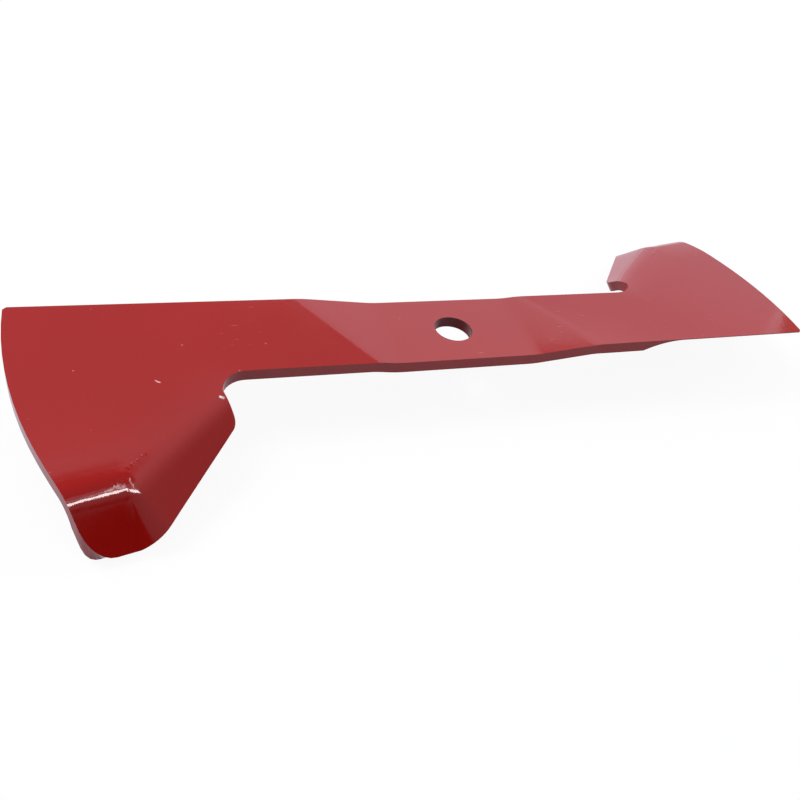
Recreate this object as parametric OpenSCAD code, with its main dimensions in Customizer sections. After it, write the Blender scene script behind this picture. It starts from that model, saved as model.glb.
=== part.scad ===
// Rotary mower blade, one pressed and ground steel bar. Millimetres, +Z up, grass side up.
// Origin: on the bore axis, in the hub seat under the centre section. +X runs to one tip.

/* [Bar] */
// Width across the straight edges
bar_w = 50; // [46:0.5:56]
// Sheet thickness
bar_t = 6; // [4:0.25:6.5]
// Radius of the circle both tips run on
tip_r = 215; // [211:0.2:222]
// Clip across the leading corner of each tip
tip_clip = 1.6; // [1:0.1:4]
// Diameter of the centre bore
bore_d = 20; // [12:0.5:26]

/* [Joggle] */
// Where an arm starts to rise from the centre section
rise_x = 38; // [34:0.5:42]
// Angle of the rise
rise_angle = 6.5; // [6:0.1:8]
// Height of the arm plane over the centre section, taken at the bore axis
arm_lift = 2.35; // [1.8:0.05:2.6]
// Pitch that sets the cutting edge over the trailing edge
arm_pitch = 3.6; // [2:0.1:4]
// Climb of the arm towards its tip
arm_climb = 0.3; // [0:0.05:0.6]
// Height over which each fold of the joggle is rounded
fold_soft = 0.45; // [0.1:0.05:0.5]

/* [Cutting edge] */
// Angle of the ground bevel under the leading edge
bevel_angle = 24; // [18:1:35]
// Thickness left at the ground edge
bevel_land = 0.5; // [0.3:0.1:1.5]
// Where the bevel reaches its full depth
bevel_x = 131; // [125:1:150]
// Radius of the run-out at the start of the bevel
bevel_r = 70; // [50:1:90]

/* [Notch] */
// Furthest reach of the notch along the arm
notch_x = 126.2; // [124:0.2:128]
// Radius of the notch
notch_r = 13; // [9:0.5:15]
// Direction of the inner edge of the wing
inner_angle = 108; // [100:1:114]

/* [Wing] */
// Where the inner crease would cross the trailing edge
crease_x = 114.1; // [112:0.1:117]
// Direction of the inner crease
inner_crease = 41.6; // [39.5:0.1:44]
// Direction of the outer crease
outer_crease = 12.5; // [8:0.5:17]
// Run of the inner crease up to the knee where the creases meet
knee_run = 79; // [76:0.1:82]
// Radius in plan of that knee
knee_r = 4.6; // [2:0.2:8]
// Width of the soft roll in front of the creases
roll_w = 19; // [15:0.1:22]
// Slope of the roll at the inner crease
roll_slope_in = 8.5; // [4:0.5:11]
// Slope of the roll at the outer crease
roll_slope_out = 8; // [4:0.5:12]
// Share of the inner roll that is left at the notch
notch_roll = 0.65; // [0.4:0.05:1]
// Crease radius at the notch
crease_r_in = 17; // [12:0.5:20]
// Crease radius at the knee
crease_r_knee = 23; // [17:0.5:25]
// Crease radius at the tip
crease_r_out = 14; // [9:0.5:16]
// Fold of the inner facet below the arm
fold_in = 41; // [38:0.5:45]
// Fold of the outer facet below the arm
fold_out = 51; // [47:0.5:55]
// Reach of the wing past the crease, in plan, at the notch
reach_in = 13.2; // [12:0.1:15]
// The same reach at the knee
reach_knee = 23.9; // [21.5:0.1:25.5]
// The same reach at the outer facet
reach_out = 23.2; // [21:0.1:25]
// Extra reach at the middle of the knee
reach_swell = 0.5; // [0:0.1:1.5]
// Corner radius at the notch end of the wing
corner_in = 6.5; // [5:0.5:8]
// Corner radius at the tip end of the wing
corner_out = 12.5; // [8:0.5:14]

/* [Hidden] */
$fn = 96;

// Steps of the surface grid: flat part, soft roll, crease, facet, notch
flat_n = 10;
roll_n = 5;
crease_n = 8;
facet_n = 8;
notch_n = 8;
// Columns of the wing: inner facet, knee, outer facet
in_n = 8;
knee_n = 8;
out_n = 6;
wing_n = in_n + knee_n + out_n;

half_w = bar_w / 2;
seat_x = rise_x - 6;
seat_lap = 8;
cut_lap = 3;
rise_k = tan(rise_angle);
pitch_k = tan(arm_pitch);
climb_k = tan(arm_climb);

function unit(a) = [cos(a), sin(a)];
function mix(a, b, t) = a + (b - a) * t;
function ease(t) = t <= 0 ? 0 : t >= 1 ? 1 : t * t * (3 - 2 * t);
function soft_gap(a, b) = pow(max(fold_soft - abs(a - b), 0), 2) / (4 * fold_soft);

// Height of the grass face over the centre section, before the wing is folded
function arm_z(p) = arm_lift + climb_k * p.x - pitch_k * p.y;
function rise_z(p) = rise_k * (p.x - rise_x);
function ramp_z(p) = min(rise_z(p), arm_z(p)) - soft_gap(rise_z(p), arm_z(p));
fold_run = fold_soft / (rise_k - climb_k);
function base_z(p) =
    p.x > rise_x + fold_run ? ramp_z(p) : max(0, ramp_z(p)) + soft_gap(0, ramp_z(p));

// The line where the crease starts: a straight, a knee and a straight, with the wing to its left
u_in = unit(inner_crease);
n_in = unit(inner_crease + 90);
u_out = unit(outer_crease);
n_out = unit(outer_crease + 90);
knee_turn = inner_crease - outer_crease;
knee_at = [crease_x, half_w] + knee_run * u_in;
knee_run_in = knee_r * tan(knee_turn / 2);
knee_a = knee_at - knee_run_in * u_in;
knee_b = knee_at + knee_run_in * u_out;
knee_c = knee_a - knee_r * n_in;
function line_s(p) = (p - knee_a) * u_in;

// The notch runs from the trailing edge to the start of the crease
notch_c = [notch_x - notch_r, half_w + notch_r];
notch_end = inner_crease + 90 - acos((knee_a - notch_c) * n_in / notch_r);
function notch_at(t) = notch_c + notch_r * unit(mix(-90, notch_end, t));
root = notch_at(1);
root_s = line_s(root);

// The soft roll bends the plate down towards both creases and fades out round the notch
fade_in = 16;
fade_out = 15;
roll_lap = 1;
function fade(s) =
    s < root_s ? notch_roll * pow(max(0, 1 - (root_s - s) / fade_in), 2)
    : mix(notch_roll, 1, ease((s - root_s) / fade_out));
function roll_fall(d, a) = tan(a) * pow(max(0, min(d, roll_lap) + roll_w), 2) / (2 * roll_w);
function soft_max(a, b) = pow(pow(a, 4) + pow(b, 4), 0.25);
function roll_drop(p) = soft_max(
    fade(line_s(p)) * roll_fall((p - knee_a) * n_in, roll_slope_in),
    roll_fall((p - knee_b) * n_out, roll_slope_out)
);
function plate_z(p) = bar_t + base_z(p) - roll_drop(p);

// Profile of the fold past the crease line; w is -1 at the notch, 0 at the knee and 1 past it
function roll_at(w) = mix(roll_slope_in, roll_slope_out, max(w, 0));
function crease_r(w) = mix(crease_r_knee, w < 0 ? crease_r_in : crease_r_out, abs(w));
function fold_at(w) = mix(fold_in, fold_out, max(w, 0));
function crease_end(w) = crease_r(w) * (sin(fold_at(w)) - sin(roll_at(w)));
function slope_at(d, w) =
    d >= crease_end(w) ? fold_at(w) : asin(sin(roll_at(w)) + d / crease_r(w));
function fold_drop(d, w) =
    crease_r(w) * (cos(roll_at(w)) - cos(slope_at(d, w)))
    + tan(fold_at(w)) * max(0, d - crease_end(w));

// Inner end of the wing: straight edge and rounded corner, in run s and reach d
edge_a = inner_angle - inner_crease;
tip_s = root_s + reach_in / tan(edge_a);
taper_a = atan((reach_knee - reach_in) / -tip_s);
corner_run = corner_in * tan((edge_a - taper_a) / 2);
corner_a = [tip_s, reach_in] - corner_run * unit(edge_a);
corner_c = corner_a + corner_in * unit(edge_a - 90);
corner_b = [tip_s, reach_in] + corner_run * unit(taper_a);
function inner_s(d) =
    d <= corner_a.y ? root_s + d / tan(edge_a)
    : corner_c.x - sqrt(max(0, pow(corner_in, 2) - pow(d - corner_c.y, 2)));

// Tip end of the wing: tip circle and rounded corner, in run s and reach d
axis_s = -knee_b * u_out;
axis_d = -knee_b * n_out;
toe_d = reach_out - corner_out - axis_d;
toe_s = axis_s + sqrt(pow(tip_r - corner_out, 2) - pow(toe_d, 2));
toe_from = axis_d + toe_d * tip_r / (tip_r - corner_out);
function tip_end(d) =
    d <= toe_from ? axis_s + sqrt(pow(tip_r, 2) - pow(d - axis_d, 2))
    : toe_s + sqrt(max(0, pow(corner_out, 2) - pow(d - axis_d - toe_d, 2)));

// Wing grid: column c along the crease, row r down the fold, as [plan point, reach, w, direction]
function col_w(c) = min(1, max(0, (c - in_n) / knee_n));
function row_d(r, w, reach) =
    r <= crease_n
    ? crease_r(w) * (sin(mix(roll_at(w), fold_at(w), r / crease_n)) - sin(roll_at(w)))
    : mix(crease_end(w), reach, sin(90 * (r - crease_n) / facet_n));
function in_cell(f, r) =
    let (
        s = inner_s(row_d(r, -1, corner_b.y)) * (1 - f),
        d = row_d(r, f - 1, corner_b.y + tan(taper_a) * max(0, s - corner_b.x))
    )
    [knee_a + s * u_in + d * n_in, d, f - 1, n_in];
function knee_cell(w, r) =
    let (
        d = row_d(r, w, mix(reach_knee, reach_out, w) + 4 * reach_swell * w * (1 - w)),
        n = unit(inner_crease + 90 - knee_turn * w)
    )
    [knee_c + (knee_r + d) * n, d, w, n];
function out_cell(f, r) =
    let (d = row_d(r, 1, reach_out))
    [knee_b + tip_end(d) * f * u_out + d * n_out, d, 1, n_out];
function cell(c, r) =
    c <= in_n ? in_cell(c / in_n, r)
    : c < in_n + knee_n ? knee_cell(col_w(c), r)
    : out_cell((c - in_n - knee_n) / out_n, r);

// Ribs across the bar, as [leading point, point where the roll starts, trailing point]
function rib(a, b) = [[a, -half_w], mix([a, -half_w], [b, half_w], 0.8), [b, half_w]];
function arm_meet_x(y) =
    (arm_lift + rise_k * rise_x - pitch_k * y) / (rise_k - climb_k);
notch_x0 = notch_c.x;
rise_ribs = [for (k = [-2:2]) rib(rise_x + k * fold_run / 2, rise_x + k * fold_run / 2)];
meet_ribs = [
    for (k = [-2:2])
        rib(arm_meet_x(-half_w) + k * fold_run / 2, arm_meet_x(half_w) + k * fold_run / 2)
];
arm_rib = [rib((meet_ribs[4][0].x + notch_x0) / 2, (meet_ribs[4][2].x + notch_x0) / 2)];
notch_ribs = [
    for (k = [0:notch_n - 1])
        let (g = notch_at(k / notch_n), l = [g.x, -half_w])
        [l, mix(l, g, 0.8), g]
];
lead_end = sqrt(pow(tip_r, 2) - pow(half_w, 2)) - tip_clip;
wing_ribs = [
    for (c = [0:wing_n - 1])
        let (g = cell(c, 0)[0], l = [mix(root.x, lead_end, c / wing_n), -half_w])
        [l, g + roll_w * (l - g) / norm(l - g), g]
];
ribs = concat([rib(seat_x - seat_lap, seat_x - seat_lap)], rise_ribs, meet_ribs, arm_rib,
    notch_ribs, wing_ribs);
first_wing = len(ribs) - wing_n;

function rib_points(q) = concat(
    [for (k = [0:flat_n - 1]) mix(q[0], q[1], k / flat_n)],
    [for (k = [0:roll_n]) mix(q[1], q[2], k / roll_n)]
);
function tip_at(d) = knee_b + tip_end(d) * u_out + d * n_out;
clip_a = asin((tip_clip - half_w) / tip_r);
roll_a = atan2(tip_at(-roll_w).y, tip_at(-roll_w).x);
tip_points = concat(
    [[lead_end, -half_w]],
    [for (k = [1:flat_n - 1]) tip_r * unit(mix(clip_a, roll_a, (k - 1) / (flat_n - 1)))],
    [for (k = [0:roll_n]) tip_at(roll_w * (k / roll_n - 1))]
);
plan = concat([for (q = ribs) rib_points(q)], [tip_points]);
rib_last = len(plan) - 1;
rib_n = flat_n + roll_n;

// Grass face and the normals that carry the sheet thickness
probe = 0.02;
function up(g) = [-g.x, -g.y, 1] / norm([g.x, g.y, 1]);
function plate_up(p) = up([
    (plate_z(p + [probe, 0]) - plate_z(p - [probe, 0])) / (2 * probe),
    (plate_z(p + [0, probe]) - plate_z(p - [0, probe])) / (2 * probe)
]);
function wing_z(q) =
    bar_t + base_z(q[0]) - roll_drop(q[0] - q[1] * q[3]) - fold_drop(q[1], q[2]);
function wing_up(q) = up([climb_k, -pitch_k] - tan(slope_at(q[1], q[2])) * q[3]);
cells = [for (c = [0:wing_n]) for (r = [1:crease_n + facet_n]) cell(c, r)];
plate_plan = [for (row = plan) each row];
top_points = concat(
    [for (p = plate_plan) [p.x, p.y, plate_z(p)]],
    [for (q = cells) [q[0].x, q[0].y, wing_z(q)]]
);
top_ups = concat([for (p = plate_plan) plate_up(p)], [for (q = cells) wing_up(q)]);

// Edges stand square to the sheet, but the tip is trimmed upright, up to its outer corner
upright_run = tip_r - norm(tip_at(reach_out));
function upright(p) = pow(max(0, 1 - (tip_r - norm([p.x, p.y])) / upright_run), 2);
function low_point(p, n) = p - bar_t * mix(n, [0, 0, 1 / n.z], upright(p));
low_points = [for (k = [0:len(top_points) - 1]) low_point(top_points[k], top_ups[k])];
low_at = len(top_points);

// Faces
wing_rows = crease_n + facet_n;
function pi_at(i, j) = i * (rib_n + 1) + j;
function wi_at(c, r) =
    r == 0 ? pi_at(first_wing + c, rib_n)
    : (rib_last + 1) * (rib_n + 1) + c * wing_rows + r - 1;
quads = concat(
    [for (i = [0:rib_last - 1]) for (j = [0:rib_n - 1])
        [pi_at(i, j), pi_at(i, j + 1), pi_at(i + 1, j + 1), pi_at(i + 1, j)]],
    [for (c = [0:wing_n - 1]) for (r = [0:wing_rows - 1])
        [wi_at(c, r), wi_at(c, r + 1), wi_at(c + 1, r + 1), wi_at(c + 1, r)]]
);
rim = concat(
    [for (i = [0:rib_last]) pi_at(i, 0)],
    [for (j = [1:rib_n]) pi_at(rib_last, j)],
    [for (r = [1:wing_rows]) wi_at(wing_n, r)],
    [for (c = [wing_n - 1:-1:0]) wi_at(c, wing_rows)],
    [for (r = [wing_rows - 1:-1:1]) wi_at(0, r)],
    [for (i = [first_wing:-1:0]) pi_at(i, rib_n)],
    [for (j = [rib_n - 1:-1:1]) pi_at(0, j)]
);
rim_n = len(rim);
top_faces = [for (q = quads) each [[q[0], q[1], q[2]], [q[0], q[2], q[3]]]];
low_faces = [for (f = top_faces) [f[2] + low_at, f[1] + low_at, f[0] + low_at]];
rim_faces = [
    for (k = [0:rim_n - 1])
        let (a = rim[k], b = rim[(k + 1) % rim_n])
        each [[a, b, b + low_at], [a, b + low_at, a + low_at]]
];

// One arm with its wing, from inside the centre section to the tip
module arm()
    polyhedron(points = concat(top_points, low_points),
        faces = concat(top_faces, low_faces, rim_faces));

// The flat middle that is clamped to the hub
module seat()
    translate([-seat_x, -half_w, 0])
        linear_extrude(bar_t)
            square([2 * seat_x, bar_w]);

// What the grinding wheel takes from under one leading edge, with the round run-out it leaves
bevel_run = (bar_t - bevel_land) / sin(bevel_angle) + cut_lap;
wheel_depth = 3 * bar_t;
module bevel()
    translate([0, 0, bar_t + arm_lift])
        rotate([-arm_pitch, -arm_climb, 0])
            translate([0, -half_w, -bevel_land])
                rotate([-bevel_angle, 0, 0])
                    translate([0, bevel_run, 0])
                        rotate([90, 0, 0])
                            linear_extrude(bevel_run + cut_lap)
                                wheel_path();

module wheel_path()
    intersection() {
        union() {
            translate([bevel_x, -bevel_r])
                circle(bevel_r);
            translate([bevel_x, -bevel_r])
                square([tip_r, bevel_r]);
        }
        translate([bevel_x - bevel_r, -wheel_depth])
            square([tip_r + bevel_r, 2 * wheel_depth]);
    }

module bore()
    translate([0, 0, -cut_lap])
        cylinder(d = bore_d, h = bar_t + 2 * cut_lap);

module blade()
    color([0.64, 0.16, 0.17])
        difference() {
            union() {
                seat();
                for (a = [0, 180])
                    rotate([0, 0, a])
                        arm();
            }
            bore();
            for (a = [0, 180])
                rotate([0, 0, a])
                    bevel();
        }

blade();
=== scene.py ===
import math

import bpy
from mathutils import Matrix, Quaternion, Vector


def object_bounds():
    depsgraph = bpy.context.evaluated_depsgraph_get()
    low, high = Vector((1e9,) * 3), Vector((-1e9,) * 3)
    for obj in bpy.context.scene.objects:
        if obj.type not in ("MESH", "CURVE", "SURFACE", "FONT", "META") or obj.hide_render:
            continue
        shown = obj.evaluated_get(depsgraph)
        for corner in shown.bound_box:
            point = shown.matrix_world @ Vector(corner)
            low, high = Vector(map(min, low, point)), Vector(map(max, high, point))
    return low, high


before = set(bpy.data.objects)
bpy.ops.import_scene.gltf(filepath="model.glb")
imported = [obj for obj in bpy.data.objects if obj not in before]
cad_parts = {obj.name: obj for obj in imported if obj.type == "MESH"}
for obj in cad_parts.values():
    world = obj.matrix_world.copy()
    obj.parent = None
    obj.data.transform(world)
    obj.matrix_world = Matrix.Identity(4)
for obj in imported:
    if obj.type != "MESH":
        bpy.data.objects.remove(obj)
cad_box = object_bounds()
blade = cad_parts["blade"]
scene = bpy.context.scene

WHITE = (1, 1, 1, 1)

# Camera fitted to the photograph
CAM_AT = Vector((-0.19648, -0.36490, 0.29413))
CAM_RIGHT = Vector((0.91782, -0.33909, 0.20645))
CAM_UP = Vector((0.09590, 0.69401, 0.71355))
CAM_LOOK = Vector((0.38523, 0.63512, -0.66949))
CAM_LENS = 42.895
CAM_SENSOR = 36.0
CAM_SHIFT = (-0.0737, 0.0694)

# Distance of the lamp panels, and the tint of the daylight one
PANEL_FAR = 2.4
COOL = (0.96, 1.0, 1.14)

# Light of the tent over the object, as elevation and level
TENT = ((26, 0.02), (28, 0.38), (44, 0.57), (59, 0.92), (62, 0.9), (66, 0.27))
TENT_TINT = (0.97, 1.0, 1.08, 1)

# Size of the floor, and the share of its white that no shadow dims, as it is seen
FLOOR_SIZE = 30
FLOOR_GLOW = 0.93

# The same share as the paint mirrors it: before the blade, behind it, and the way from one to the other
FLOOR_FRONT = 0.5
FLOOR_BACK = 1.0
FLOOR_RAMP = 0.08
FLOOR_TINT = (0.97, 1.0, 1.12, 1)

# Painted shadow in the mirrored floor under the bore: how dark it is, and the radii between which it fades
SHADOW_UNDER_BORE = 0.1
SHADOW_UNDER_R = (0.028, 0.040)

# Grey of the floor's matt share, as it is seen and as it lights the object, and the white behind the floor
FLOOR_MATT = 0.9
FLOOR_BOUNCE = 0.5
BACKDROP = 0.96

# Rounding of the blade's edges
WELD_GAP = 1e-5
EDGE_R = 0.0006
EDGE_STEPS = 3
EDGE_ANGLE = 35

# Paint colours, where it lies deep and thin, and the dust in it
PAINT_DEEP = (0.33, 0.004, 0.002, 1)
PAINT_THIN = (0.36, 0.006, 0.004, 1)
DUST = (0.62, 0.30, 0.28, 1)
PAINT_IOR = 1.5

# Roughness of the paint at its best and worst, and in the bore
GLOSS_BEST = 0.05
GLOSS_WORST = 0.10
BORE_ROUGH = 0.3

# Painted shade in the bore: a darker red for the paint inside it, and the bore's radius
PAINTED_BORE_SHADE = (0.15, 0.004, 0.003, 1)
BORE_R = 0.010

# Painted glint: a near-white dash at the notch end of a crease, with half its length and width
NOTCH_GLINT = (0.85, 0.82, 0.80, 1)
NOTCH_GLINT_AT = (-0.1270, -0.0396, 0.0)
NOTCH_GLINT_WAY = (0.94, -0.35, 0.0)
NOTCH_GLINT_HALF = (0.0014, 0.0007)

# A nick in the paint beside it
NICK = (0.80, 0.45, 0.40, 1)
NICK_AT = (-0.1532, -0.0288, 0.0)
NICK_WAY = (0.80, -0.60, 0.0)
NICK_HALF = (0.0017, 0.0005)

# Scales of the noise for depth of colour, gloss, dust nibs and their patches, scuffs and their patches
DEPTH_SCALE = 9.0
GLOSS_SCALE = 35.0
NIB_SCALE = 120.0
NIB_PATCH = 70.0
SCUFF_SCALE = (110, 900, 110)
SCUFF_TURN = 35
SCUFF_PATCH = 22.0

# Scales of the noise for orange peel, press marks, the pinch and ragged edges
PEEL_SCALE = 420.0
PRESS_SCALE = 260.0
PINCH_SCALE = 600.0
RAGGED_SCALE = 900.0

# Heights of the orange peel, press marks, pinch and nibs
PEEL_HIGH = 0.00002
PRESS_HIGH = 0.00008
PINCH_HIGH = 0.0003
NIB_HIGH = 0.00015

# Knee of one wing's creases, and the ways across and along the outer and the inner one
KNEE = (0.1732, 0.0774, 0.0)
ACROSS = (-0.2164, 0.9763, 0.0)
ALONG = (0.9763, 0.2164, 0.0)
ACROSS_IN = (-0.6639, 0.7478, 0.0)
ALONG_IN = (0.7478, 0.6639, 0.0)

# Where the press left marks: the band across the outer crease and where it starts along it,
# and the pinch across and along the inner crease
PRESS_BAND = (-0.003, 0.001, 0.007, 0.010)
PRESS_START = (-0.008, -0.002)
PINCH_BAND = (-0.0010, 0.0002, 0.0002, 0.0018)
PINCH_RUN = (-0.018, -0.007, -0.004, -0.001)


def add_camera():
    data = bpy.data.cameras.new("camera")
    cam = bpy.data.objects.new("camera", data)
    scene.collection.objects.link(cam)
    data.sensor_width = CAM_SENSOR
    data.lens = CAM_LENS
    data.shift_x, data.shift_y = CAM_SHIFT
    turn = Matrix((CAM_RIGHT, CAM_UP, -CAM_LOOK)).transposed().to_4x4()
    cam.matrix_world = Matrix.Translation(CAM_AT) @ turn
    scene.camera = cam


def add_panel(name, az, el, span, level, tint=(1, 1, 1), roll=0):
    """A soft panel lamp at az and el from the origin, with its span and roll in degrees; level 1 is white."""
    turn, rise = math.radians(az), math.radians(el)
    out = math.cos(rise)
    at = PANEL_FAR * Vector((out * math.cos(turn), out * math.sin(turn), math.sin(rise)))
    wide, high = (2 * PANEL_FAR * math.tan(math.radians(angle) / 2) for angle in span)
    data = bpy.data.lights.new(name, "AREA")
    data.shape = "RECTANGLE"
    data.size, data.size_y = wide, high
    data.energy = level * math.pi * wide * high
    data.color = tint
    lamp = bpy.data.objects.new(name, data)
    scene.collection.objects.link(lamp)
    lamp.location = at
    facing = (-at).to_track_quat("-Z", "Y") @ Quaternion((0, 0, 1), math.radians(roll))
    lamp.rotation_euler = facing.to_euler()
    lamp.visible_camera = False
    return lamp


def empty_tree(owner, out_kind):
    """The cleared node tree of a material or world, and its output node."""
    owner.use_nodes = True
    owner.node_tree.nodes.clear()
    return owner.node_tree, owner.node_tree.nodes.new(out_kind)


def node(tree, kind, **inputs):
    made = tree.nodes.new(kind)
    for key, value in inputs.items():
        made.inputs[key].default_value = value
    return made


def link(tree, source, target):
    tree.links.new(source, target)


def split(tree, vector):
    made = tree.nodes.new("ShaderNodeSeparateXYZ")
    link(tree, vector, made.inputs[0])
    return made.outputs


def noise(tree, place, scale, detail):
    made = node(tree, "ShaderNodeTexNoise", Scale=scale, Detail=detail)
    link(tree, place, made.inputs["Vector"])
    return made.outputs["Fac"]


def remap(tree, value, start, end, low, high):
    made = tree.nodes.new("ShaderNodeMapRange")
    for key, number in zip((1, 2, 3, 4), (start, end, low, high)):
        made.inputs[key].default_value = number
    link(tree, value, made.inputs[0])
    return made.outputs[0]


def maths(tree, operation, one, two=None):
    made = tree.nodes.new("ShaderNodeMath")
    made.operation = operation
    link(tree, one, made.inputs[0])
    if two is not None:
        link(tree, two, made.inputs[1])
    return made.outputs[0]


def times(tree, one, two):
    return maths(tree, "MULTIPLY", one, two)


def most(tree, one, two):
    return maths(tree, "MAXIMUM", one, two)


def band(tree, value, edges):
    """1 between the inner two of four edges and 0 outside the outer two."""
    rise = remap(tree, value, edges[0], edges[1], 0.0, 1.0)
    return times(tree, rise, remap(tree, value, edges[2], edges[3], 1.0, 0.0))


def vectors(tree, operation, one, fixed=None):
    made = tree.nodes.new("ShaderNodeVectorMath")
    made.operation = operation
    link(tree, one, made.inputs[0])
    if fixed is not None:
        made.inputs[1].default_value = fixed
    return made


def from_point(tree, place, point):
    """The way from a point, in plan."""
    away = vectors(tree, "SUBTRACT", place, point).outputs["Vector"]
    return vectors(tree, "MULTIPLY", away, (1, 1, 0)).outputs["Vector"]


def far_from(tree, place, point):
    return vectors(tree, "LENGTH", from_point(tree, place, point)).outputs["Value"]


def reach(tree, away, way):
    return vectors(tree, "DOT_PRODUCT", away, way).outputs["Value"]


def from_knee(tree, place, way):
    """Distance from the knee, one way in plan; the second wing is the first one turned half round."""
    turned = vectors(tree, "SCALE", place)
    link(tree, maths(tree, "SIGN", split(tree, place)["X"]), turned.inputs["Scale"])
    return reach(tree, from_point(tree, turned.outputs["Vector"], KNEE), way)


def dash(tree, place, point, way, halves):
    """A ragged dash on the paint, with half its length and half its width."""
    away = from_point(tree, place, point)
    share = remap(tree, noise(tree, place, RAGGED_SCALE, 2.0), 0.36, 0.52, 0.2, 1.0)
    for line, half in zip((way, (-way[1], way[0], 0.0)), halves):
        far = maths(tree, "ABSOLUTE", reach(tree, away, line))
        share = times(tree, share, remap(tree, far, 0.6 * half, half, 1.0, 0.0))
    return share


def blend(tree, share, first, second):
    """Colour that goes from first, a socket or a colour, to the colour second as share goes from 0 to 1."""
    made = tree.nodes.new("ShaderNodeMix")
    made.data_type = "RGBA"
    made.inputs[7].default_value = second
    link(tree, share, made.inputs[0])
    if isinstance(first, tuple):
        made.inputs[6].default_value = first
    else:
        link(tree, first, made.inputs[6])
    return made.outputs[2]


def bump(tree, height, distance, strength, normal=None):
    made = node(tree, "ShaderNodeBump", Strength=strength, Distance=distance)
    link(tree, height, made.inputs["Height"])
    if normal is not None:
        link(tree, normal, made.inputs["Normal"])
    return made.outputs[0]


def paint_material():
    """Dipped red gloss paint: orange peel, dust nibs, scuffs, press marks, a painted glint at a notch, a
    nick, and a bore darkened with painted shade and made rougher.
    """
    mat = bpy.data.materials.new("red_paint")
    tree, out = empty_tree(mat, "ShaderNodeOutputMaterial")
    bsdf = node(tree, "ShaderNodeBsdfPrincipled", IOR=PAINT_IOR)
    link(tree, bsdf.outputs[0], out.inputs[0])
    place = tree.nodes.new("ShaderNodeTexCoord").outputs["Object"]

    # Depth of colour, dust nibs and scuffs
    depth = remap(tree, noise(tree, place, DEPTH_SCALE, 3.0), 0.3, 0.7, 0.0, 1.0)
    skin = blend(tree, depth, PAINT_DEEP, PAINT_THIN)
    dots = node(tree, "ShaderNodeTexVoronoi", Scale=NIB_SCALE, Randomness=1.0)
    link(tree, place, dots.inputs["Vector"])
    dot = remap(tree, dots.outputs["Distance"], 0.0, 0.07, 1.0, 0.0)
    nib = times(tree, dot, remap(tree, noise(tree, place, NIB_PATCH, 0.0), 0.60, 0.64, 0.0, 1.0))
    turn = (0, 0, math.radians(SCUFF_TURN))
    along = node(tree, "ShaderNodeMapping", Rotation=turn, Scale=SCUFF_SCALE)
    link(tree, place, along.inputs["Vector"])
    line = remap(tree, noise(tree, along.outputs[0], 1.0, 1.0), 0.72, 0.80, 0.0, 0.7)
    scuff = times(tree, line, remap(tree, noise(tree, place, SCUFF_PATCH, 0.0), 0.64, 0.72, 0.0, 1.0))
    skin = blend(tree, most(tree, nib, scuff), skin, DUST)

    # Painted glint at the notch, the nick, and painted shade in the bore
    # Painted glint: a near-white dash where light glints at the notch end of a crease
    skin = blend(tree, dash(tree, place, NOTCH_GLINT_AT, NOTCH_GLINT_WAY, NOTCH_GLINT_HALF), skin, NOTCH_GLINT)
    skin = blend(tree, dash(tree, place, NICK_AT, NICK_WAY, NICK_HALF), skin, NICK)
    # Painted shade: the paint inside the bore is darkened where shade falls in it
    axis = far_from(tree, place, (0, 0, 0))
    inside = remap(tree, axis, BORE_R + 0.0001, BORE_R + 0.0004, 1.0, 0.0)
    link(tree, blend(tree, inside, skin, PAINTED_BORE_SHADE), bsdf.inputs["Base Color"])

    # Orange peel, press marks past the outer crease, the pinch at the knee, and the nibs' height
    peel = bump(tree, noise(tree, place, PEEL_SCALE, 1.0), PEEL_HIGH, 0.5)
    bent = band(tree, from_knee(tree, place, ACROSS), PRESS_BAND)
    bent = times(tree, bent, remap(tree, from_knee(tree, place, ALONG), *PRESS_START, 0.0, 1.0))
    press = times(tree, noise(tree, place, PRESS_SCALE, 2.0), bent)
    marks = bump(tree, press, PRESS_HIGH, 1.0, peel)
    pinch = times(tree, band(tree, from_knee(tree, place, ACROSS_IN), PINCH_BAND),
                  band(tree, from_knee(tree, place, ALONG_IN), PINCH_RUN))
    ragged = remap(tree, noise(tree, place, PINCH_SCALE, 1.0), 0.3, 0.6, 0.2, 1.0)
    marks = bump(tree, times(tree, pinch, ragged), PINCH_HIGH, 1.0, marks)
    link(tree, bump(tree, nib, NIB_HIGH, 1.0, marks), bsdf.inputs["Normal"])

    # Gloss
    gloss = remap(tree, noise(tree, place, GLOSS_SCALE, 4.0), 0.35, 0.7, GLOSS_BEST, GLOSS_WORST)
    dull = remap(tree, inside, 0.0, 1.0, 0.0, BORE_ROUGH)
    link(tree, most(tree, gloss, dull), bsdf.inputs["Roughness"])
    return mat


def dress_blade(mat):
    """Paint, rounded edges and smooth shading for the blade."""
    blade.data.materials.clear()
    blade.data.materials.append(mat)
    weld = blade.modifiers.new("weld", "WELD")
    weld.merge_threshold = WELD_GAP
    bevel = blade.modifiers.new("rounded_edges", "BEVEL")
    bevel.width = EDGE_R
    bevel.segments = EDGE_STEPS
    bevel.limit_method = "ANGLE"
    bevel.angle_limit = math.radians(EDGE_ANGLE)
    bevel.use_clamp_overlap = True
    for poly in blade.data.polygons:
        poly.use_smooth = True
    normal = blade.modifiers.new("face_normals", "WEIGHTED_NORMAL")
    normal.keep_sharp = False


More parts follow.
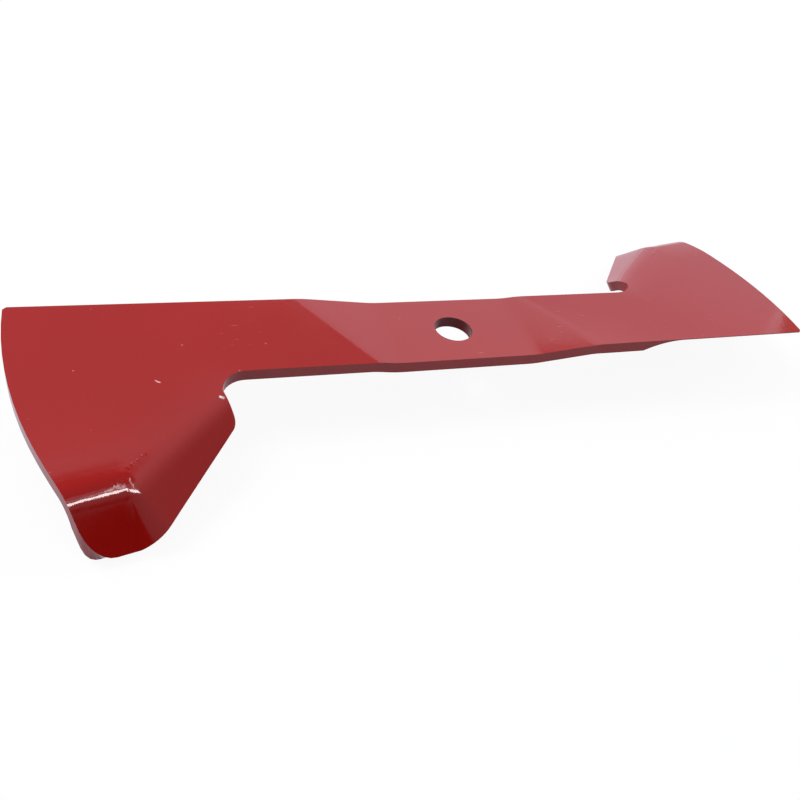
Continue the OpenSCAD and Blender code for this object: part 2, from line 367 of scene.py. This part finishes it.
def add_floor(z):
    """A white floor: its glow fills the picture and its mirror image, which has a painted shadow under the
    bore, and its matt share takes the shadow.
    """
    bpy.ops.mesh.primitive_plane_add(size=FLOOR_SIZE, location=(0, 0, z))
    floor = bpy.context.object
    floor.name = "floor"
    mat = bpy.data.materials.new("floor")
    tree, out = empty_tree(mat, "ShaderNodeOutputMaterial")
    mix = tree.nodes.new("ShaderNodeMixShader")
    ray = tree.nodes.new("ShaderNodeLightPath").outputs
    glow = node(tree, "ShaderNodeEmission", Strength=1.0)
    link(tree, blend(tree, ray["Is Camera Ray"], FLOOR_TINT, WHITE), glow.inputs["Color"])
    matt = tree.nodes.new("ShaderNodeBsdfDiffuse")
    grey = remap(tree, ray["Is Camera Ray"], 0.0, 1.0, FLOOR_BOUNCE, FLOOR_MATT)
    link(tree, grey, matt.inputs["Color"])

    place = tree.nodes.new("ShaderNodeTexCoord").outputs["Object"]
    bright = remap(tree, split(tree, place)["Y"], 0.0, FLOOR_RAMP, FLOOR_FRONT, FLOOR_BACK)
    # Painted shadow: the floor's mirrored glow is darkened under the bore
    under = remap(tree, far_from(tree, place, (0, 0, 0)), *SHADOW_UNDER_R, SHADOW_UNDER_BORE, 1.0)
    mirrored = times(tree, ray["Is Glossy Ray"], times(tree, bright, under))
    seen = most(tree, ray["Is Camera Ray"], ray["Is Transmission Ray"])
    share = most(tree, remap(tree, seen, 0.0, 1.0, 0.0, FLOOR_GLOW), mirrored)
    link(tree, share, mix.inputs[0])
    link(tree, matt.outputs[0], mix.inputs[1])
    link(tree, glow.outputs[0], mix.inputs[2])
    link(tree, mix.outputs[0], out.inputs[0])
    floor.data.materials.append(mat)


def add_world():
    """White behind the picture; for the object, a tent that grows brighter with height up to a dark top."""
    scene.world = bpy.data.worlds.new("studio")
    tree, out = empty_tree(scene.world, "ShaderNodeOutputWorld")
    mix = tree.nodes.new("ShaderNodeMixShader")
    ray = tree.nodes.new("ShaderNodeLightPath").outputs
    toward = tree.nodes.new("ShaderNodeTexCoord").outputs["Generated"]
    height = maths(tree, "ARCSINE", split(tree, toward)["Z"])
    level = None
    for (low, before), (high, after) in zip(TENT, TENT[1:]):
        step = remap(tree, height, math.radians(low), math.radians(high), 0.0, after - before)
        total = tree.nodes.new("ShaderNodeMath")
        link(tree, step, total.inputs[0])
        total.inputs[1].default_value = TENT[0][1]
        if level is not None:
            link(tree, level, total.inputs[1])
        level = total.outputs[0]
    tent = node(tree, "ShaderNodeBackground", Color=TENT_TINT)
    link(tree, level, tent.inputs["Strength"])
    white = node(tree, "ShaderNodeBackground", Color=WHITE, Strength=BACKDROP)
    link(tree, ray["Is Camera Ray"], mix.inputs[0])
    link(tree, tent.outputs[0], mix.inputs[1])
    link(tree, white.outputs[0], mix.inputs[2])
    link(tree, mix.outputs[0], out.inputs[0])


scene.view_settings.view_transform = "Standard"
add_camera()
add_world()
add_floor(cad_box[0].z)

# Lamps, as azimuth, elevation, span and level
add_panel("back_window", 73.5, 19.75, (60.9, 43.5), 0.9, COOL)
add_panel("right_wall", 28.7, 22, (22, 24), 0.36)
key = add_panel("key_lamp", -75, 45.5, (20, 7.5), 18.0)
add_panel("key_halo", -67.5, 48, (13, 17), 1.0)
add_panel("tube_lamp", -50, 66.4, (32, 2.4), 6.0, roll=52)
add_panel("back_lamp", 141, 50, (30, 30), 8.0)
add_panel("right_lamp", 12, 22, (18, 18), 7.2)

# The key lamp shows in the gloss only and doesn't light the colour
key.visible_diffuse = False

dress_blade(paint_material())
